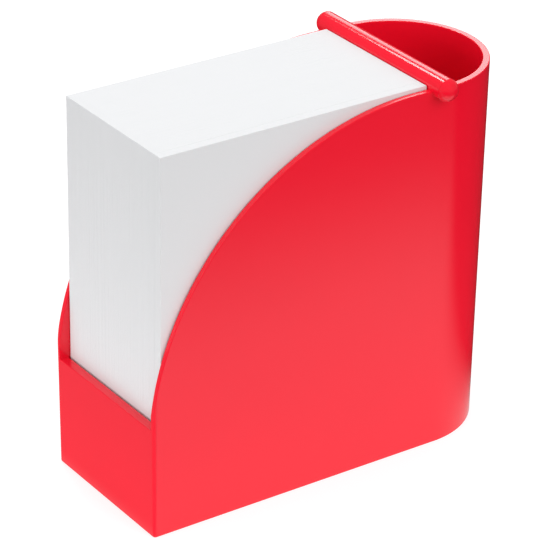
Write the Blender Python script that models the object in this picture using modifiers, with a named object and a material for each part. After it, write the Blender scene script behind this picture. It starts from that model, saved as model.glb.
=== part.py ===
# A memo box with a pen holder: a moulded housing, a divider, a round cross bar and a pile of note slips.
# Metres, +Z up. The lip faces -Y and the pen well is at +Y. The origin is the middle of the standing face.
import math

import bmesh
import bpy
from mathutils import Matrix, Vector

# Housing, outside
base_width = 0.050  # across X, at the standing face
base_length = 0.1216  # along Y, at the standing face
slip_above_rim = 0.0009  # how far the slips stand over the rim
lip_height = 0.0336
rear_round_depth = 0.0256  # from the end of the straight sides to the rear
front_corner_round = 0.0010
foot_round = 0.0005
foot_round_steps = 3
outer_draft_degrees = 0.4
rear_round_steps = 40
corner_round_steps = 4

# Housing, inside
wall_at_floor = 0.0013  # of the sides and the rear
front_wall_at_floor = 0.0026
inner_draft_degrees = 0.06
inner_corner_round = 0.0008
floor_top = 0.0022
foot_rim_width = 0.0030  # the ring that the box stands on
foot_recess = 0.0008

# Side-wall arc, a quarter ellipse from the lip to the rim, here as round as a circle
arc_end_before_bar = 0.0086
arc_start_ahead_of_front = 0.0009
arc_start_below_lip = 0.0059
arc_steps = 40

# Cross bar
bar_radius = 0.00325
bar_dome_height = 0.00257
bar_overhang = 0.0027  # from the side wall's outer face to the crease before the dome
bar_axis_above_rim = 0.0004
bar_axis_to_rear = 0.0290  # to the rear end of the standing face
bar_steps = 32
dome_steps = 6

# Divider and its guide ribs
divider_thickness = 0.0020
divider_corner_round = 0.0010
rib_width = 0.0010
rib_depth = 0.0012
rib_root = 0.0005  # how far a rib reaches into the wall and the floor
rib_top_below_rim = 0.0120

# Slips
slip_height = 0.1110
slip_thickness = 0.0001
slip_gap = 0.00005
loose_slips = 20

# Fits
rest_gap = 0.0003  # between pieces that rest on each other
side_gap = 0.0003  # between the pile or the divider and the side walls
lip_gap = 0.0006  # between the slips and the lip
cut_overrun = 0.0050
pole_merge = 0.000001

collection_name = "memo_box"
cutter_collection_name = "cutters"

outer_slope = math.tan(math.radians(outer_draft_degrees))
inner_slope = math.tan(math.radians(inner_draft_degrees))

slip_base_z = floor_top + rest_gap
slip_top_z = slip_base_z + slip_height
rim_height = slip_top_z - slip_above_rim

# The sides lean out, so the overall length runs from the lip in front to the rim at the rear.
front_lean = lip_height * outer_slope
rear_lean = rim_height * outer_slope
overall_length = base_length + front_lean + rear_lean
front_y = front_lean - overall_length / 2
rear_y = front_y + base_length
round_start_y = rear_y - rear_round_depth

bar_y = rear_y - bar_axis_to_rear
bar_z = rim_height + bar_axis_above_rim
rim_half_width = base_width / 2 + rear_lean
bar_crease_x = rim_half_width + bar_overhang

floor_half_width = base_width / 2 - wall_at_floor
pile_width = 2 * (floor_half_width - side_gap)
loose_slip_pitch = slip_thickness + slip_gap
stack_width = pile_width - loose_slips * loose_slip_pitch
slip_front_y = front_y + front_wall_at_floor + lip_gap
slip_rear_y = bar_y - bar_radius - rest_gap
slip_length = slip_rear_y - slip_front_y


def clear_scene():
    for old in list(bpy.data.objects):
        bpy.data.objects.remove(old, do_unlink=True)


def new_collection(name):
    made = bpy.data.collections.new(name)
    bpy.context.scene.collection.children.link(made)
    return made


def plastic(name, colour, roughness):
    made = bpy.data.materials.new(name)
    made.use_nodes = True
    shader = made.node_tree.nodes["Principled BSDF"]
    shader.inputs["Base Color"].default_value = colour
    shader.inputs["Roughness"].default_value = roughness
    shader.inputs["Metallic"].default_value = 0.0
    return made


def add_object(name, mesh, collection, material=None):
    made = bpy.data.objects.new(name, mesh)
    collection.objects.link(made)
    if material is not None:
        mesh.materials.append(material)
    return made


def as_cutter(obj):
    obj.hide_render = True
    obj.display_type = "WIRE"
    return obj


def mesh_from(bm, name):
    bmesh.ops.recalc_face_normals(bm, faces=bm.faces)
    mesh = bpy.data.meshes.new(name)
    bm.to_mesh(mesh)
    bm.free()
    return mesh


def boolean(obj, operation, other):
    modifier = obj.modifiers.new(f"{operation.lower()} {other.name}", "BOOLEAN")
    modifier.operation = operation
    modifier.object = other
    modifier.solver = "EXACT"


def round_corner(centre, radius, start_degrees):
    """Points of a quarter circle, from the start angle anticlockwise."""
    points = []
    for step in range(corner_round_steps + 1):
        angle = math.radians(start_degrees + 90 * step / corner_round_steps)
        points.append(centre + radius * Vector((math.cos(angle), math.sin(angle))))
    return points


def plan_outline(half_width, front, round_start, round_depth, corner_round):
    """The box from above, anticlockwise: round front corners, straight sides and a half-ellipse rear."""
    points = []
    points += round_corner(Vector((corner_round - half_width, front + corner_round)), corner_round, 180)
    points += round_corner(Vector((half_width - corner_round, front + corner_round)), corner_round, 270)
    for step in range(rear_round_steps + 1):
        angle = math.pi * step / rear_round_steps
        points.append(Vector((half_width * math.cos(angle), round_start + round_depth * math.sin(angle))))
    return points


def drafted_prism(outline_at, low, high):
    """A closed prism between two heights, whose outline grows with the height as outline_at says."""
    bm = bmesh.new()
    rings = []
    for height in (low, high):
        rings.append([bm.verts.new((p.x, p.y, height)) for p in outline_at(height)])
    bm.faces.new(list(reversed(rings[0])))
    bm.faces.new(rings[1])
    bmesh.ops.bridge_loops(bm, edges=list(bm.edges))
    return bm


def outer_outline(height):
    lean = height * outer_slope
    return plan_outline(
        base_width / 2 + lean,
        front_y - lean,
        round_start_y,
        rear_round_depth + lean,
        front_corner_round,
    )


def inner_outline(height):
    lean = (height - floor_top) * inner_slope
    return plan_outline(
        floor_half_width + lean,
        front_y + front_wall_at_floor - lean,
        round_start_y,
        rear_round_depth - wall_at_floor + lean,
        inner_corner_round,
    )


def foot_recess_outline(height):
    return plan_outline(
        base_width / 2 - foot_rim_width,
        front_y + foot_rim_width,
        round_start_y,
        rear_round_depth - foot_rim_width,
        front_corner_round,
    )


def box(name, low, high, collection):
    """A box between two corners, with its origin in its middle."""
    low, high = Vector(low), Vector(high)
    bm = bmesh.new()
    bmesh.ops.create_cube(bm, size=1.0)
    bmesh.ops.scale(bm, vec=high - low, verts=bm.verts)
    made = add_object(name, mesh_from(bm, name), collection)
    made.location = (low + high) / 2
    return made


def arc_cutter(collection):
    """The air above the side-wall arc: a side view, extruded across the whole width."""
    half_reach = rim_half_width + cut_overrun
    reach_y = bar_y - arc_end_before_bar - front_y + arc_start_ahead_of_front
    centre_y = bar_y - arc_end_before_bar
    centre_z = lip_height - arc_start_below_lip
    rise = rim_height - centre_z
    points = []
    for step in range(arc_steps + 1):
        angle = math.pi / 2 * step / arc_steps
        y = centre_y - reach_y * math.cos(angle)
        z = centre_z + rise * math.sin(angle)
        if z > lip_height:
            points.append((y, z))
    lip_angle = math.asin(arc_start_below_lip / rise)
    points.insert(0, (centre_y - reach_y * math.cos(lip_angle), lip_height))
    points.append((centre_y, rim_height + cut_overrun))
    points.append((front_y - front_lean - cut_overrun, rim_height + cut_overrun))
    points.append((front_y - front_lean - cut_overrun, lip_height))
    bm = bmesh.new()
    face = bm.faces.new([bm.verts.new((-half_reach, y, z)) for y, z in points])
    pushed = bmesh.ops.extrude_face_region(bm, geom=[face])
    moved = [item for item in pushed["geom"] if isinstance(item, bmesh.types.BMVert)]
    bmesh.ops.translate(bm, vec=(2 * half_reach, 0, 0), verts=moved)
    return as_cutter(add_object("arc_cut", mesh_from(bm, "arc_cut"), collection))


def lip_cutter(collection):
    """The front wall above the lip, between the inner faces of the side walls."""
    lean = (lip_height - floor_top) * inner_slope
    half = floor_half_width + lean
    return as_cutter(
        box(
            "lip_cut",
            (-half, front_y - front_lean - cut_overrun, lip_height),
            (half, front_y + front_wall_at_floor + cut_overrun, rim_height + cut_overrun),
            collection,
        )
    )


def bar_seat_cutter(collection):
    bm = bmesh.new()
    length = 2 * (rim_half_width + cut_overrun)
    seat_radius = bar_radius + rest_gap
    bmesh.ops.create_cone(
        bm, cap_ends=True, segments=bar_steps, radius1=seat_radius, radius2=seat_radius, depth=length
    )
    made = add_object("bar_seat_cut", mesh_from(bm, "bar_seat_cut"), collection)
    made.matrix_world = Matrix.Translation((0, bar_y, bar_z)) @ Matrix.Rotation(math.pi / 2, 4, "Y")
    return as_cutter(made)


def guide_rib(name, side, y_low, collection):
    """One upright rib on a side wall, which reaches a little into the wall and the floor."""
    low_x = side * (floor_half_width - rib_depth)
    high_x = side * (floor_half_width + rib_root)
    return as_cutter(
        box(
            name,
            (min(low_x, high_x), y_low, floor_top - rib_root),
            (max(low_x, high_x), y_low + rib_width, rim_height - rib_top_below_rim),
            collection,
        )
    )


def make_housing(collection, cutters, material):
    bm = drafted_prism(outer_outline, 0, rim_height)
    bmesh.ops.recalc_face_normals(bm, faces=bm.faces)
    foot_edges = [e for e in bm.edges if all(v.co.z == 0 for v in e.verts)]
    bmesh.ops.bevel(
        bm,
        geom=foot_edges,
        offset=foot_round,
        offset_type="OFFSET",
        segments=foot_round_steps,
        profile=0.5,
        affect="EDGES",
    )
    housing = add_object("housing", mesh_from(bm, "housing"), collection, material)

    well = drafted_prism(inner_outline, floor_top, rim_height + cut_overrun)
    hollow = as_cutter(add_object("hollow_cut", mesh_from(well, "hollow_cut"), cutters))
    under = drafted_prism(foot_recess_outline, -cut_overrun, foot_recess)
    recess = as_cutter(add_object("foot_recess_cut", mesh_from(under, "foot_recess_cut"), cutters))

    for cutter in (hollow, recess, arc_cutter(cutters), lip_cutter(cutters), bar_seat_cutter(cutters)):
        boolean(housing, "DIFFERENCE", cutter)

    half_slot = divider_thickness / 2 + side_gap
    for side, side_name in ((-1, "left"), (1, "right")):
        for y_low, place in ((bar_y - half_slot - rib_width, "front"), (bar_y + half_slot, "rear")):
            boolean(housing, "UNION", guide_rib(f"{place}_{side_name}_rib", side, y_low, cutters))
    return housing


def make_divider(collection, material):
    """A plate with rounded corners, standing on the floor between the guide ribs, up to the bar."""
    half_width = floor_half_width - side_gap
    low_z = floor_top + rest_gap
    high_z = bar_z - bar_radius - rest_gap
    corners = (
        (-half_width, low_z, 1, 1, 180),
        (half_width, low_z, -1, 1, 270),
        (half_width, high_z, -1, -1, 0),
        (-half_width, high_z, 1, -1, 90),
    )
    bm = bmesh.new()
    verts = []
    for x, z, right, up, start in corners:
        centre = Vector((x + right * divider_corner_round, z + up * divider_corner_round))
        for point in round_corner(centre, divider_corner_round, start):
            verts.append(bm.verts.new((point.x, -divider_thickness / 2, point.y)))
    face = bm.faces.new(verts)
    pushed = bmesh.ops.extrude_face_region(bm, geom=[face])
    moved = [item for item in pushed["geom"] if isinstance(item, bmesh.types.BMVert)]
    bmesh.ops.translate(bm, vec=(0, divider_thickness, 0), verts=moved)
    divider = add_object("divider", mesh_from(bm, "divider"), collection, material)
    divider.location = (0, bar_y, 0)
    return divider


def make_cross_bar(collection, material):
    """A turned bar: a straight run between two creases and a low spherical dome on each end."""
    sphere_radius = (bar_radius**2 + bar_dome_height**2) / (2 * bar_dome_height)
    half_angle = math.asin(bar_radius / sphere_radius)
    top = []
    for step in range(dome_steps + 1):
        angle = half_angle * step / dome_steps
        drop = sphere_radius * (1 - math.cos(angle))
        top.append((sphere_radius * math.sin(angle), bar_crease_x + bar_dome_height - drop))
    profile = top + [(radius, -height) for radius, height in reversed(top)]
    bm = bmesh.new()
    verts = [bm.verts.new((radius, 0, height)) for radius, height in profile]
    for first, second in zip(verts, verts[1:]):
        bm.edges.new((first, second))
    mesh = bpy.data.meshes.new("cross_bar")
    bm.to_mesh(mesh)
    bm.free()
    bar = add_object("cross_bar", mesh, collection, material)
    turn = bar.modifiers.new("turn", "SCREW")
    turn.axis = "Z"
    turn.steps = bar_steps
    turn.render_steps = bar_steps
    turn.use_merge_vertices = True
    turn.merge_threshold = pole_merge
    turn.use_smooth_shade = True
    bar.location = (0, bar_y, bar_z)
    bar.rotation_euler = (0, math.pi / 2, 0)
    return bar


def make_slips(collection, material):
    """The pile, from the far side wall to the near one: one stack, then the loose slips one by one."""
    low_x = -pile_width / 2
    stack_high = (low_x + stack_width, slip_rear_y, slip_top_z)
    stack = box("slip_stack", (low_x, slip_front_y, slip_base_z), stack_high, collection)
    stack.data.materials.append(material)

    bm = bmesh.new()
    bmesh.ops.create_cube(bm, size=1.0)
    bmesh.ops.scale(bm, vec=(slip_thickness, slip_length, slip_height), verts=bm.verts)
    sheet = mesh_from(bm, "slip")
    sheet.materials.append(material)
    for number in range(loose_slips):
        slip = add_object(f"slip_{number + 1:02d}", sheet, collection)
        near_x = low_x + stack_width + (number + 1) * loose_slip_pitch
        slip.location = (
            near_x - slip_thickness / 2,
            (slip_front_y + slip_rear_y) / 2,
            slip_base_z + slip_height / 2,
        )


def main():
    clear_scene()
    parts = new_collection(collection_name)
    cutters = new_collection(cutter_collection_name)
    red = plastic("red gloss plastic", (0.86, 0.020, 0.045, 1.0), 0.22)
    bar_red = plastic("red gloss bar", (0.86, 0.018, 0.040, 1.0), 0.18)
    divider_red = plastic("red divider", (0.82, 0.020, 0.045, 1.0), 0.30)
    paper = plastic("white paper", (0.86, 0.87, 0.88, 1.0), 0.85)
    make_housing(parts, cutters, red)
    make_divider(parts, divider_red)
    make_cross_bar(parts, bar_red)
    make_slips(parts, paper)
    bpy.context.view_layer.update()


main()
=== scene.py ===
import math
import random

import bmesh
import bpy
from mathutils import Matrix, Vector


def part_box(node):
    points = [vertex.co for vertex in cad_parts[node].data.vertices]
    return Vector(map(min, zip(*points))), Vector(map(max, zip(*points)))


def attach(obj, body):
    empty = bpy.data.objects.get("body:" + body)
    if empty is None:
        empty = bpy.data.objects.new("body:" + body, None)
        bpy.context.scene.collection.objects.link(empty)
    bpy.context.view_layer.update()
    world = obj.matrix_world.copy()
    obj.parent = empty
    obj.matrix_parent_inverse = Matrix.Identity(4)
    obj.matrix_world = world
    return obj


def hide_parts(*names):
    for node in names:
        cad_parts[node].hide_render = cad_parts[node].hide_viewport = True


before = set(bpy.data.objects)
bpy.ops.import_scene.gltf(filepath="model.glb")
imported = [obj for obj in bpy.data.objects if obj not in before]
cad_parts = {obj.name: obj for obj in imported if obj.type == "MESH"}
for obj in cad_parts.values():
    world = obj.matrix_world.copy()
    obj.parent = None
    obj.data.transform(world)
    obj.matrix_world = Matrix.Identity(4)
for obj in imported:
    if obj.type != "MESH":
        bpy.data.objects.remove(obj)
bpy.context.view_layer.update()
random.seed(12)

# Places read from the fixed frame
housingLow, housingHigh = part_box("housing")
barLow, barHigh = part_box("cross_bar")
stackLow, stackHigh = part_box("slip_stack")
dividerLow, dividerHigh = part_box("divider")
barY = (barLow.y + barHigh.y) / 2
barZ = (barLow.z + barHigh.z) / 2
barRadius = (barHigh.z - barLow.z) / 2
rimHeight = housingHigh.z
mergeWithin = 0.000004  # points closer than this become one
mostly = 0.9  # of a unit direction, for picking what points one way
squarely = 0.99
quarterTurn = math.pi / 2
evenWeight = 100  # a middle weight, for normals that follow the larger faces
colourA, colourB, colourOut = 6, 7, 2  # the colour sockets of a Mix node
white = (1.0, 1.0, 1.0, 1.0)


# Small helpers for working in edit mode from code

def useOnly(obj):
    if bpy.context.mode != "OBJECT":
        bpy.ops.object.mode_set(mode="OBJECT")
    bpy.ops.object.select_all(action="DESELECT")
    obj.select_set(True)
    bpy.context.view_layer.objects.active = obj


def startEdit(obj):
    useOnly(obj)
    bpy.ops.object.mode_set(mode="EDIT")


def endEdit():
    bpy.ops.object.mode_set(mode="OBJECT")


def added(name):  # names the primitive that was just added
    obj = bpy.context.object
    obj.name = name
    obj.data.name = name
    return obj


def pick(obj, kind, wanted):  # selects the vertices, edges or faces that pass a test
    bpy.ops.mesh.select_mode(type={"verts": "VERT", "edges": "EDGE", "faces": "FACE"}[kind])
    bpy.ops.mesh.select_all(action="DESELECT")
    mesh = bmesh.from_edit_mesh(obj.data)
    for item in getattr(mesh, kind):
        if wanted(item):
            item.select_set(True)
    bmesh.update_edit_mesh(obj.data)


def setInPlace(obj):  # the piece's place goes into its mesh
    useOnly(obj)
    bpy.ops.object.transform_apply(location=True, rotation=True, scale=True)


def cutWith(obj, cutter, operation="DIFFERENCE"):
    useOnly(obj)
    cut = obj.modifiers.new("cut", "BOOLEAN")
    cut.operation = operation
    cut.object = cutter
    cut.solver = "EXACT"
    bpy.ops.object.modifier_apply(modifier=cut.name)
    bpy.data.objects.remove(cutter, do_unlink=True)


def roundEdges(obj, width, steps, wanted):  # rounds the outer edges that pass a test
    startEdit(obj)
    bpy.ops.mesh.select_all(action="SELECT")
    bpy.ops.mesh.remove_doubles(threshold=mergeWithin)
    pick(obj, "edges", lambda e: len(e.link_faces) == 2 and e.is_convex and wanted(e))
    bpy.ops.mesh.bevel(offset=width, segments=steps, affect="EDGES", clamp_overlap=False)
    bpy.ops.mesh.select_all(action="SELECT")
    bpy.ops.mesh.remove_doubles(threshold=mergeWithin)
    endEdit()


def sharperThan(degrees):
    return lambda e: e.calc_face_angle() > math.radians(degrees)


def shadeRound(obj, sharpDegrees):
    useOnly(obj)
    bpy.ops.object.shade_smooth_by_angle(angle=math.radians(sharpDegrees))
    even = obj.modifiers.new("even", "WEIGHTED_NORMAL")
    even.keep_sharp = True
    even.weight = evenWeight
    bpy.ops.object.modifier_apply(modifier=even.name)


# Finishes

skinLook = {  # what all the moulded pieces share
    "peelDetail": 2.0,
    "scuffStretch": (1.0, 0.12, 1.0),
    "scuffDetail": 4.0,
    "scuffRoughness": 0.65,
    "scuffFrom": 0.58,
    "scuffTo": 0.75,
    "cloudScale": 22.0,
    "cloudDetail": 3.0,
    "cloudDark": 0.965,
    "cloudLight": 1.03,
}


def node(tree, kind, place, **settings):
    made = tree.nodes.new(kind)
    made.location = place
    for name, value in settings.items():
        setattr(made, name, value)
    return made


def makeMouldedSkin(look):  # the surface of a polished mould: slight orange peel, fine scuffs, faint clouds
    group = bpy.data.node_groups.new("mouldedSkin", "ShaderNodeTree")
    face = group.interface
    for name, value in (("Peel Scale", 260.0), ("Scuff Scale", 900.0), ("Gloss", 0.12), ("Scuff", 0.05)):
        socket = face.new_socket(name, in_out="INPUT", socket_type="NodeSocketFloat")
        socket.default_value = value
    face.new_socket("Color", in_out="INPUT", socket_type="NodeSocketColor")
    face.new_socket("Color", in_out="OUTPUT", socket_type="NodeSocketColor")
    face.new_socket("Roughness", in_out="OUTPUT", socket_type="NodeSocketFloat")
    face.new_socket("Height", in_out="OUTPUT", socket_type="NodeSocketFloat")

    given = node(group, "NodeGroupInput", (-900, 0))
    out = node(group, "NodeGroupOutput", (700, 0))
    place = node(group, "ShaderNodeTexCoord", (-900, 300))

    peel = node(group, "ShaderNodeTexNoise", (-600, 300))
    peel.inputs["Detail"].default_value = look["peelDetail"]
    group.links.new(place.outputs["Object"], peel.inputs["Vector"])
    group.links.new(given.outputs["Peel Scale"], peel.inputs["Scale"])

    stretch = node(group, "ShaderNodeMapping", (-700, -100))
    stretch.inputs["Scale"].default_value = look["scuffStretch"]
    scuff = node(group, "ShaderNodeTexNoise", (-500, -100))
    scuff.inputs["Detail"].default_value = look["scuffDetail"]
    scuff.inputs["Roughness"].default_value = look["scuffRoughness"]
    group.links.new(place.outputs["Object"], stretch.inputs["Vector"])
    group.links.new(stretch.outputs["Vector"], scuff.inputs["Vector"])
    group.links.new(given.outputs["Scuff Scale"], scuff.inputs["Scale"])
    scuffMask = node(group, "ShaderNodeMapRange", (-250, -100))
    scuffMask.inputs["From Min"].default_value = look["scuffFrom"]
    scuffMask.inputs["From Max"].default_value = look["scuffTo"]
    group.links.new(scuff.outputs["Fac"], scuffMask.inputs["Value"])

    cloud = node(group, "ShaderNodeTexNoise", (-500, -400))
    cloud.inputs["Scale"].default_value = look["cloudScale"]
    cloud.inputs["Detail"].default_value = look["cloudDetail"]
    group.links.new(place.outputs["Object"], cloud.inputs["Vector"])
    cloudShade = node(group, "ShaderNodeMapRange", (-250, -400))
    cloudShade.inputs["To Min"].default_value = look["cloudDark"]
    cloudShade.inputs["To Max"].default_value = look["cloudLight"]
    group.links.new(cloud.outputs["Fac"], cloudShade.inputs["Value"])

    tint = node(group, "ShaderNodeMix", (200, 200), data_type="RGBA", blend_type="MULTIPLY")
    tint.inputs["Factor"].default_value = 1.0
    group.links.new(given.outputs["Color"], tint.inputs[colourA])
    group.links.new(cloudShade.outputs["Result"], tint.inputs[colourB])
    group.links.new(tint.outputs[colourOut], out.inputs["Color"])

    rougher = node(group, "ShaderNodeMath", (100, -100), operation="MULTIPLY_ADD")
    group.links.new(scuffMask.outputs["Result"], rougher.inputs[0])
    group.links.new(given.outputs["Scuff"], rougher.inputs[1])
    group.links.new(given.outputs["Gloss"], rougher.inputs[2])
    group.links.new(rougher.outputs["Value"], out.inputs["Roughness"])
    group.links.new(peel.outputs["Fac"], out.inputs["Height"])
    return group


mouldedSkin = makeMouldedSkin(skinLook)


def plastic(name, look):
    made = bpy.data.materials.new(name)
    made.use_nodes = True
    tree = made.node_tree
    shader = tree.nodes["Principled BSDF"]
    skin = node(tree, "ShaderNodeGroup", (-500, 0), node_tree=mouldedSkin)
    skin.inputs["Color"].default_value = look["color"]
    skin.inputs["Gloss"].default_value = look["gloss"]
    skin.inputs["Scuff"].default_value = look["scuff"]
    skin.inputs["Peel Scale"].default_value = look["peelScale"]
    bump = node(tree, "ShaderNodeBump", (-220, -250))
    bump.inputs["Strength"].default_value = look["peelStrength"]
    bump.inputs["Distance"].default_value = look["peelDepth"]
    tree.links.new(skin.outputs["Color"], shader.inputs["Base Color"])
    tree.links.new(skin.outputs["Roughness"], shader.inputs["Roughness"])
    tree.links.new(skin.outputs["Height"], bump.inputs["Height"])
    tree.links.new(bump.outputs["Normal"], shader.inputs["Normal"])
    shader.inputs["IOR"].default_value = look["ior"]
    return made


def paper(name, look):  # uncoated stock with a faint fibre cloud
    made = bpy.data.materials.new(name)
    made.use_nodes = True
    tree = made.node_tree
    shader = tree.nodes["Principled BSDF"]
    place = node(tree, "ShaderNodeTexCoord", (-900, 0))
    fibre = node(tree, "ShaderNodeTexNoise", (-650, 0))
    fibre.inputs["Scale"].default_value = look["fibreScale"]
    fibre.inputs["Detail"].default_value = look["fibreDetail"]
    fibre.inputs["Roughness"].default_value = look["fibreRoughness"]
    shade = node(tree, "ShaderNodeMix", (-300, 100), data_type="RGBA")
    shade.inputs[colourA].default_value = look["color"]
    shade.inputs[colourB].default_value = look["thinColor"]
    bump = node(tree, "ShaderNodeBump", (-250, -250))
    bump.inputs["Strength"].default_value = look["fibreStrength"]
    bump.inputs["Distance"].default_value = look["fibreDepth"]
    tree.links.new(place.outputs["Object"], fibre.inputs["Vector"])
    tree.links.new(fibre.outputs["Fac"], shade.inputs["Factor"])
    tree.links.new(fibre.outputs["Fac"], bump.inputs["Height"])
    tree.links.new(shade.outputs[colourOut], shader.inputs["Base Color"])
    tree.links.new(bump.outputs["Normal"], shader.inputs["Normal"])
    shader.inputs["Roughness"].default_value = look["roughness"]
    shader.inputs["Specular IOR Level"].default_value = look["specular"]
    return made


redLook = {
    "color": (0.93, 0.007, 0.028, 1.0),
    "gloss": 0.14,
    "scuff": 0.05,
    "peelScale": 260.0,
    "peelStrength": 0.12,
    "peelDepth": 0.0001,
    "ior": 1.49,
}
paperLook = {
    "color": (0.80, 0.805, 0.815, 1.0),
    "thinColor": (0.775, 0.785, 0.80, 1.0),
    "fibreScale": 1400.0,
    "fibreDetail": 5.0,
    "fibreRoughness": 0.7,
    "fibreStrength": 0.25,
    "fibreDepth": 0.00003,
    "roughness": 0.85,
    "specular": 0.25,
}
housingRed = plastic("housingRed", redLook)
barRed = plastic("barRed", {**redLook, "gloss": 0.11, "peelScale": 320.0})
dividerRed = plastic("dividerRed", {**redLook, "gloss": 0.18, "scuff": 0.08})
slipPaper = paper("slipPaper", paperLook)
print("finishes made")


# The housing

housingShape = {
    "draftDegrees": 0.4,  # how far the outer walls lean out
    "innerDraftDegrees": 0.06,
    "lipHeight": 0.0336,
    "roundDepth": 0.0256,  # of the half-ellipse at the rear, at the foot
    "wallAtFloor": 0.0013,
    "frontWallAtFloor": 0.0026,
    "floorTop": 0.0022,
    "cornerRound": 0.0010,
    "cornerSteps": 6,
    "footRound": 0.0005,
    "footSteps": 3,
    "innerCornerRound": 0.0008,
    "edgeRound": 0.00025,
    "edgeSteps": 3,
    "sharpDegrees": 32,  # edges that are sharper get the edge round
    "arcSharpDegrees": 28,  # and along the arc also these
    "footRimWidth": 0.0030,
    "footRecess": 0.0008,
    "recessLean": 0.01,  # how far the recess narrows for each unit of height
    "arcRadius": 0.0849,
    "arcSlack": 0.00001,  # between the arc's flat steps and the true circle
    "arcEndBeforeBar": 0.0086,
    "ribWidth": 0.0010,
    "ribDepth": 0.0012,
    "ribRoot": 0.0005,
    "ribTopBelowRim": 0.0120,
    "slotGap": 0.0003,
    "overrun": 0.0050,
    "steps": 96,  # round the rear
    "arcSteps": 560,  # in the whole circle of the arc
    "seatSteps": 96,
    "shadeDegrees": 40,
    "pickShare": 0.001,  # of the half width, for picking the points that lie on a line
}


def addPrism(name, low, high, roundStart, cornerRound, shape):
    # A block with a half-ellipse rear, from low to high, each with its z, half width, front and rear
    half = low["half"]
    centre = (0, roundStart, low["z"])
    around = 2 * shape["steps"]
    bpy.ops.mesh.primitive_circle_add(vertices=around, radius=half, fill_type="NGON", location=centre)
    obj = added(name)
    startEdit(obj)
    bpy.ops.mesh.select_all(action="SELECT")
    bpy.ops.transform.resize(value=(1, (low["rear"] - roundStart) / half, 1), center_override=centre)
    bpy.ops.mesh.bisect(plane_co=centre, plane_no=(0, 1, 0), clear_inner=True)
    tiny = half * shape["pickShare"]
    pick(obj, "edges", lambda e: all(abs(v.co.y) < tiny for v in e.verts))
    bpy.ops.mesh.extrude_region_move(TRANSFORM_OT_translate={"value": (0, low["front"] - roundStart, 0)})
    pick(obj, "verts", lambda v: v.co.y < low["front"] - roundStart + tiny)
    bpy.ops.mesh.bevel(offset=cornerRound, segments=shape["cornerSteps"], affect="VERTICES")
    bpy.ops.mesh.select_all(action="SELECT")
    bpy.ops.mesh.extrude_region_move(TRANSFORM_OT_translate={"value": (0, 0, high["z"] - low["z"])})
    longer = (high["rear"] - high["front"]) / (low["rear"] - low["front"])
    still = (high["front"] - longer * low["front"]) / (1 - longer)
    bpy.ops.transform.resize(value=(high["half"] / half, longer, 1), center_override=(0, still, high["z"]))
    bpy.ops.mesh.select_all(action="SELECT")
    bpy.ops.mesh.normals_make_consistent(inside=False)
    endEdit()
    setInPlace(obj)
    return obj


def addBlock(name, low, high):
    low, high = Vector(low), Vector(high)
    bpy.ops.mesh.primitive_cube_add(size=1, location=(low + high) / 2, scale=high - low)
    obj = added(name)
    setInPlace(obj)
    return obj


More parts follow.
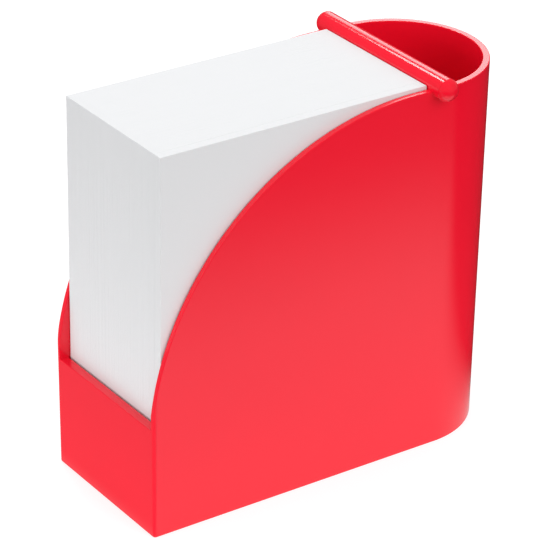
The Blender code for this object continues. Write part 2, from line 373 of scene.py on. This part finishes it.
def makeHousing(shape):
    slope = math.tan(math.radians(shape["draftDegrees"]))
    innerSlope = math.tan(math.radians(shape["innerDraftDegrees"]))
    rearBase = housingHigh.y - rimHeight * slope
    frontBase = shape["lipHeight"] * slope - housingHigh.y
    halfBase = housingHigh.x - rimHeight * slope
    roundStart = rearBase - shape["roundDepth"]
    overrun = shape["overrun"]
    floorTop = shape["floorTop"]

    def outerAt(z):
        lean = z * slope
        return {"z": z, "half": halfBase + lean, "front": frontBase - lean, "rear": rearBase + lean}

    def innerAt(z):
        lean = (z - floorTop) * innerSlope
        return {
            "z": z,
            "half": halfBase - shape["wallAtFloor"] + lean,
            "front": frontBase + shape["frontWallAtFloor"] - lean,
            "rear": rearBase - shape["wallAtFloor"] + lean,
        }

    def underAt(z):
        rim = shape["footRimWidth"] + z * shape["recessLean"]
        return {"z": z, "half": halfBase - rim, "front": frontBase + rim, "rear": rearBase - rim}

    corner = shape["cornerRound"]
    housing = addPrism("housing_shell", outerAt(0), outerAt(rimHeight), roundStart, corner, shape)
    startEdit(housing)
    pick(housing, "edges", lambda e: all(v.co.z < mergeWithin for v in e.verts))
    bpy.ops.mesh.bevel(offset=shape["footRound"], segments=shape["footSteps"], affect="EDGES")
    endEdit()
    inside = innerAt(rimHeight + overrun)
    hollow = addPrism("hollow", innerAt(floorTop), inside, roundStart, shape["innerCornerRound"], shape)
    cutWith(housing, hollow)
    under = addPrism("under", underAt(-overrun), underAt(shape["footRecess"]), roundStart, corner, shape)
    cutWith(housing, under)

    # The air over the arc: a block less a lying cylinder
    arcY = barY - shape["arcEndBeforeBar"]
    arcZ = rimHeight - shape["arcRadius"]
    reach = housingHigh.x + overrun
    air = addBlock(
        "air", (-reach, housingLow.y - overrun, shape["lipHeight"]), (reach, arcY, rimHeight + overrun)
    )
    bpy.ops.mesh.primitive_cylinder_add(
        vertices=shape["arcSteps"],
        radius=shape["arcRadius"],
        depth=2 * (reach + overrun),
        location=(0, arcY, arcZ),
        rotation=(0, quarterTurn, 0),
    )
    cutWith(air, added("drum"))
    cutWith(housing, air)

    # The front wall over the lip, between the side walls
    atLip = innerAt(shape["lipHeight"])
    gapLow = (-atLip["half"], housingLow.y - overrun, shape["lipHeight"])
    gapHigh = (atLip["half"], atLip["front"] + overrun, rimHeight + overrun)
    cutWith(housing, addBlock("gap", gapLow, gapHigh))

    # Ribs that guide the divider
    halfSlot = (dividerHigh.y - dividerLow.y) / 2 + shape["slotGap"]
    halfInner = innerAt(floorTop)["half"]
    for side in (-1, 1):
        for y in (barY - halfSlot - shape["ribWidth"], barY + halfSlot):
            xs = sorted((side * (halfInner - shape["ribDepth"]), side * (halfInner + shape["ribRoot"])))
            low = (xs[0], y, floorTop - shape["ribRoot"])
            high = (xs[1], y + shape["ribWidth"], rimHeight - shape["ribTopBelowRim"])
            cutWith(housing, addBlock("rib", low, high), "UNION")

    def inFront(face):
        return face.normal.y < -squarely and face.calc_center_median().y < atLip["front"]

    # The front is cut where the lip ends, so that each of its faces stays simple when its edges are rounded
    startEdit(housing)
    for place, direction in (
        ((0, 0, shape["lipHeight"]), (0, 0, 1)),
        ((-atLip["half"], 0, 0), (1, 0, 0)),
        ((atLip["half"], 0, 0), (1, 0, 0)),
    ):
        pick(housing, "faces", inFront)
        bpy.ops.mesh.bisect(plane_co=place, plane_no=direction)
    endEdit()

    def onArc(vert):
        away = math.hypot(vert.co.y - arcY, vert.co.z - arcZ)
        return vert.co.y < arcY and abs(away - shape["arcRadius"]) < shape["arcSlack"]

    def worthRounding(edge):
        angle = math.degrees(edge.calc_face_angle())
        alongArc = all(onArc(v) for v in edge.verts) and angle > shape["arcSharpDegrees"]
        return angle > shape["sharpDegrees"] or alongArc

    roundEdges(housing, shape["edgeRound"], shape["edgeSteps"], worthRounding)

    # Half-round seats for the bar
    bpy.ops.mesh.primitive_cylinder_add(
        vertices=shape["seatSteps"],
        radius=barRadius,
        depth=2 * reach,
        location=(0, barY, barZ),
        rotation=(0, quarterTurn, 0),
    )
    cutWith(housing, added("seat"))
    shadeRound(housing, shape["shadeDegrees"])
    housing.data.materials.clear()
    housing.data.materials.append(housingRed)
    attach(housing, "holder")
    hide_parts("housing")


makeHousing(housingShape)
print("housing made")


# The cross bar, with a fine crease before each domed end

barShape = {
    "domeHeight": 0.00257,
    "creaseWidth": 0.0003,
    "creaseDepth": 0.00018,
    "steps": 96,
    "domeSteps": 12,
    "shadeDegrees": 50,
}


def makeCrossBar(shape):
    crease = barHigh.x - shape["domeHeight"]
    straight = crease - shape["creaseWidth"]
    bpy.ops.mesh.primitive_cylinder_add(
        vertices=shape["steps"],
        radius=barRadius,
        depth=2 * straight,
        location=(0, barY, barZ),
        rotation=(0, quarterTurn, 0),
    )
    bar = added("cross_bar_rod")
    setInPlace(bar)
    sphere = (barRadius**2 + shape["domeHeight"] ** 2) / (2 * shape["domeHeight"])
    widest = math.asin(barRadius / sphere)
    startEdit(bar)
    for side in (-1, 1):
        place = straight
        radius = barRadius

        def step(toPlace, toRadius):
            bpy.ops.mesh.extrude_region_move(
                TRANSFORM_OT_translate={"value": (side * (toPlace - place), 0, 0)}
            )
            size = toRadius / radius
            bpy.ops.transform.resize(value=(1, size, size), center_override=(side * toPlace, barY, barZ))
            return toPlace, toRadius

        pick(bar, "faces", lambda f: side * f.normal.x > mostly)
        place, radius = step(straight + shape["creaseWidth"] / 2, barRadius - shape["creaseDepth"])
        place, radius = step(crease, barRadius)
        for number in range(1, shape["domeSteps"]):
            angle = widest * (1 - number / shape["domeSteps"])
            rise = sphere * (math.cos(angle) - math.cos(widest))
            place, radius = step(crease + rise, sphere * math.sin(angle))
        bpy.ops.mesh.extrude_region_move(
            TRANSFORM_OT_translate={"value": (side * (crease + shape["domeHeight"] - place), 0, 0)}
        )
        bpy.ops.mesh.merge(type="CENTER")
    endEdit()
    shadeRound(bar, shape["shadeDegrees"])
    bar.data.materials.append(barRed)
    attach(bar, "holder")
    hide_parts("cross_bar")


makeCrossBar(barShape)
print("cross bar made")


# The divider between the slips and the pens

dividerShape = {
    "cornerRound": 0.0010,
    "cornerSteps": 6,
    "edgeRound": 0.0003,
    "edgeSteps": 2,
    "sharpDegrees": 40,
    "shadeDegrees": 50,
}


def makeDivider(shape):
    plate = addBlock("divider_plate", dividerLow, dividerHigh)
    startEdit(plate)
    pick(plate, "edges", lambda e: abs((e.verts[0].co - e.verts[1].co).normalized().y) > mostly)
    bpy.ops.mesh.bevel(offset=shape["cornerRound"], segments=shape["cornerSteps"])
    endEdit()
    roundEdges(plate, shape["edgeRound"], shape["edgeSteps"], sharperThan(shape["sharpDegrees"]))
    shadeRound(plate, shape["shadeDegrees"])
    plate.data.materials.append(dividerRed)
    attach(plate, "holder")
    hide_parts("divider")


makeDivider(dividerShape)
print("divider made")


# The slips

slipShape = {
    "pitch": 0.00015,
    "thickness": 0.000148,
    "cornerCut": 0.0002,
    "cornerSteps": 2,
    "unevenY": 0.000012,  # how far a slip may stand forward or back
    "unevenZ": 0.000012,  # and how far short of the full height
}


def addSlip(name, lowX, shape):
    shiftY = random.uniform(-1, 1) * shape["unevenY"]
    short = random.uniform(0, 1) * shape["unevenZ"]
    low = (lowX, stackLow.y + shape["unevenY"] + shiftY, stackLow.z)
    high = (lowX + shape["thickness"], stackHigh.y - shape["unevenY"] + shiftY, stackHigh.z - short)
    slip = addBlock(name, low, high)
    startEdit(slip)
    pick(slip, "edges", lambda e: abs((e.verts[0].co - e.verts[1].co).normalized().x) > mostly)
    bpy.ops.mesh.bevel(offset=shape["cornerCut"], segments=shape["cornerSteps"])
    endEdit()
    return slip


def copySlip(first, name, lowX, shape):  # a copy with its own mesh, a hair out of line
    copy = first.copy()
    copy.data = first.data.copy()
    copy.name = name
    copy.data.name = name
    bpy.context.scene.collection.objects.link(copy)
    firstX = min(v.co.x for v in first.data.vertices)
    topZ = max(v.co.z for v in first.data.vertices)
    middleZ = (stackLow.z + stackHigh.z) / 2
    shiftY = random.uniform(-1, 1) * shape["unevenY"]
    newTop = stackHigh.z - random.uniform(0, 1) * shape["unevenZ"]
    for vert in copy.data.vertices:
        vert.co.x += lowX - firstX
        vert.co.y += shiftY
        if vert.co.z > middleZ:
            vert.co.z += newTop - topZ
    return copy


def dressSlip(obj, body, nodeName):
    obj.data.materials.clear()
    obj.data.materials.append(slipPaper)
    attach(obj, body)
    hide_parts(nodeName)


def makeSlips(shape):
    first = addSlip("slip_pile", stackLow.x, shape)
    count = int((stackHigh.x - stackLow.x) / shape["pitch"])
    sheets = [first]
    for number in range(1, count):
        sheets.append(copySlip(first, f"sheet_{number}", stackLow.x + number * shape["pitch"], shape))
    loose = sorted(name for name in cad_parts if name.startswith("slip_") and name != "slip_stack")
    for name in loose:
        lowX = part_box(name)[0].x
        dressSlip(copySlip(first, f"{name}_sheet", lowX, shape), name, name)
    bpy.ops.object.select_all(action="DESELECT")
    for sheet in sheets:
        sheet.select_set(True)
    bpy.context.view_layer.objects.active = first
    bpy.ops.object.join()
    dressSlip(first, "slip_stack", "slip_stack")
    print("slips made:", count, "in the stack and", len(loose), "loose")


makeSlips(slipShape)


# Floor, light and camera

studio = {
    "floorSize": 6.0,
    "paintedPoolColor": 0.95,  # painted pool of light: the floor's colour round the object, seen only by bounce light
    "paintedShadeColor": 0.10,  # and further out, painted shade where it falls dark
    "nearOuter": 0.10,  # how far the painted pale pool reaches
    "farInner": 0.28,  # and where the painted shade is full
    "floorLift": 0.72,  # plain white added where the camera sees the floor
    "floorShare": 0.42,  # of the lit floor that the camera still sees, for the shadow
    "paintedReflectionOut": (0.095, 0.205, 1.0, 0.15),  # painted reflection: how strongly the floor glows white in reflections alone, from x to x
    "paintedReflectionFront": (-0.065, -0.057, 0.30, 1.0),  # of the painted reflection, from y to y
    "paintedReflectionBack": (0.0, 0.055, 1.0, 0.03),  # and of the painted reflection, from the line behind the object outwards
    "backLineStart": (0.025, 0.035, 0.0),
    "backLineAway": (-0.573, 0.819, 0.0),
    "worldShine": 0.3,  # what it shows of the white over the floor
    "worldLight": 0.76,
    "aim": (0.0, 0.0, 0.055),
}
lamps = {  # brightness is what a mirror would show of the lamp, where 1 is white
    "backBox": {"from": (-0.728, 0.509, 0.46), "distance": 1.0, "size": 0.38, "brightness": 3.1},
    "keyBox": {"from": (-0.618, 0.079, 0.785), "distance": 0.9, "size": 0.2, "brightness": 11.0},
    "sideFill": {"from": (0.8, 0.15, 0.55), "distance": 1.0, "size": 0.7, "brightness": 2.1, "fill": True},
    "frontFill": {"from": (0.1, -0.95, 0.1), "distance": 1.0, "size": 0.7, "brightness": 2.9, "fill": True},
}
photoCamera = {
    "azimuth": 55.0443,
    "elevation": 27.3744,
    "roll": 0.9738,
    "distance": 0.859899,
    "aim": (0.0, -0.0010758, 0.055),
    "aimRight": -0.0030648,
    "aimUp": -0.0013765,
    "lens": 200.285,
    "sensorWidth": 36,
}


def chooseByRay(tree, lit, mirrored, seen):
    # One look for plain light, one for reflections, and one for the camera and through glass
    light = node(tree, "ShaderNodeLightPath", (100, 500))
    direct = node(tree, "ShaderNodeMath", (300, 500), operation="MAXIMUM")
    tree.links.new(light.outputs["Is Camera Ray"], direct.inputs[0])
    tree.links.new(light.outputs["Is Transmission Ray"], direct.inputs[1])
    away = node(tree, "ShaderNodeMixShader", (400, 100))
    tree.links.new(light.outputs["Is Glossy Ray"], away.inputs["Fac"])
    tree.links.new(lit, away.inputs[1])
    tree.links.new(mirrored, away.inputs[2])
    choose = node(tree, "ShaderNodeMixShader", (600, 0))
    tree.links.new(direct.outputs["Value"], choose.inputs["Fac"])
    tree.links.new(away.outputs["Shader"], choose.inputs[1])
    tree.links.new(seen, choose.inputs[2])
    return choose.outputs["Shader"]


def fade(tree, place, source, limits):  # a value that changes smoothly between two places
    made = node(tree, "ShaderNodeMapRange", place, interpolation_type="SMOOTHSTEP")
    for name, value in zip(("From Min", "From Max", "To Min", "To Max"), limits):
        made.inputs[name].default_value = value
    tree.links.new(source, made.inputs["Value"])
    return made.outputs["Result"]


def paintedFloorReflection(tree, values):  # painted reflection: a glow that only reflections see on the floor, white beside the object and darker in front of it and behind
    place = node(tree, "ShaderNodeTexCoord", (-1300, -400))
    parts = node(tree, "ShaderNodeSeparateXYZ", (-1100, -300))
    shift = node(tree, "ShaderNodeVectorMath", (-1100, -500), operation="SUBTRACT")
    shift.inputs[1].default_value = values["backLineStart"]
    away = node(tree, "ShaderNodeVectorMath", (-900, -500), operation="DOT_PRODUCT")
    away.inputs[1].default_value = values["backLineAway"]
    tree.links.new(place.outputs["Object"], parts.inputs["Vector"])
    tree.links.new(place.outputs["Object"], shift.inputs[0])
    tree.links.new(shift.outputs["Vector"], away.inputs[0])
    outward = fade(tree, (-700, -200), parts.outputs["X"], values["paintedReflectionOut"])
    forward = fade(tree, (-700, -400), parts.outputs["Y"], values["paintedReflectionFront"])
    behind = fade(tree, (-700, -600), away.outputs["Value"], values["paintedReflectionBack"])
    first = node(tree, "ShaderNodeMath", (-500, -300), operation="MULTIPLY")
    second = node(tree, "ShaderNodeMath", (-300, -400), operation="MULTIPLY")
    tree.links.new(outward, first.inputs[0])
    tree.links.new(forward, first.inputs[1])
    tree.links.new(first.outputs["Value"], second.inputs[0])
    tree.links.new(behind, second.inputs[1])
    return second.outputs["Value"]


def makeFloor(values):
    bpy.ops.mesh.primitive_plane_add(size=values["floorSize"], location=(0, 0, 0))
    floor = added("studio_floor")
    made = bpy.data.materials.new("floorWhiteAndPaintedLight")
    made.use_nodes = True
    tree = made.node_tree
    tree.nodes.clear()
    out = node(tree, "ShaderNodeOutputMaterial", (800, 0))
    place = node(tree, "ShaderNodeTexCoord", (-600, 200))
    away = node(tree, "ShaderNodeVectorMath", (-400, 200), operation="LENGTH")
    tree.links.new(place.outputs["Object"], away.inputs[0])
    # Bounce light sees a painted pool of light on the floor, pale round the object and painted shade
    # further out; the camera and reflections don't see it
    lit = node(tree, "ShaderNodeBsdfDiffuse", (0, 200))
    limits = (values["nearOuter"], values["farInner"], values["paintedPoolColor"], values["paintedShadeColor"])
    tree.links.new(fade(tree, (-200, 200), away.outputs["Value"], limits), lit.inputs["Color"])
    # painted reflection: the floor glows for reflections alone, though it is no lamp
    shine = node(tree, "ShaderNodeEmission", (0, 0))
    tree.links.new(paintedFloorReflection(tree, values), shine.inputs["Strength"])
    glow = node(tree, "ShaderNodeEmission", (0, -150))
    glow.inputs["Strength"].default_value = values["floorLift"]
    faint = node(tree, "ShaderNodeBsdfDiffuse", (0, -300))
    share = values["floorShare"]
    faint.inputs["Color"].default_value = (share, share, share, 1.0)
    both = node(tree, "ShaderNodeAddShader", (200, -200))
    tree.links.new(glow.outputs["Emission"], both.inputs[0])
    tree.links.new(faint.outputs["BSDF"], both.inputs[1])
    surface = chooseByRay(tree, lit.outputs["BSDF"], shine.outputs["Emission"], both.outputs["Shader"])
    tree.links.new(surface, out.inputs["Surface"])
    floor.data.materials.append(made)


def makeWorld(values):
    world = bpy.data.worlds.new("studioWorld")
    bpy.context.scene.world = world
    world.use_nodes = True
    tree = world.node_tree
    tree.nodes.clear()
    out = node(tree, "ShaderNodeOutputWorld", (800, 0))
    looks = []
    for row, strength in ((100, values["worldLight"]), (0, values["worldShine"]), (-100, 1.0)):
        sky = node(tree, "ShaderNodeBackground", (0, row))
        sky.inputs["Color"].default_value = white
        sky.inputs["Strength"].default_value = strength
        looks.append(sky.outputs["Background"])
    tree.links.new(chooseByRay(tree, *looks), out.inputs["Surface"])


def makeLamp(name, lamp, aim):
    direction = Vector(lamp["from"]).normalized()
    place = Vector(aim) + direction * lamp["distance"]
    bpy.ops.object.light_add(type="AREA", location=place)
    light = bpy.context.object
    light.name = name
    light.rotation_euler = direction.to_track_quat("Z", "Y").to_euler()
    light.data.shape = "SQUARE"
    light.data.size = lamp["size"]
    light.data.energy = lamp["brightness"] * math.pi * lamp["size"] ** 2
    light.visible_glossy = not lamp.get("fill", False)  # fill light leaves no glint


def makeCamera(values):
    azimuth = math.radians(values["azimuth"])
    elevation = math.radians(values["elevation"])
    roll = math.radians(values["roll"])
    back = Vector((
        math.sin(azimuth) * math.cos(elevation),
        -math.cos(azimuth) * math.cos(elevation),
        math.sin(elevation),
    ))
    right = Vector((math.cos(azimuth), math.sin(azimuth), 0))
    up = back.cross(right)
    aim = Vector(values["aim"]) + right * values["aimRight"] + up * values["aimUp"]
    place = aim + back * values["distance"]
    bpy.ops.object.camera_add(location=place)
    camera = bpy.context.object
    camera.name = "photo_camera"
    level = back.to_track_quat("Z", "Y")
    camera.rotation_euler = level.to_euler()
    camera.rotation_euler.rotate_axis("Z", roll)
    camera.data.lens = values["lens"]
    camera.data.sensor_width = values["sensorWidth"]
    bpy.context.scene.camera = camera


makeFloor(studio)
makeWorld(studio)
for lampName, lampValues in lamps.items():
    makeLamp(lampName, lampValues, studio["aim"])
makeCamera(photoCamera)
bpy.context.scene.view_settings.view_transform = "Standard"
print("studio made")
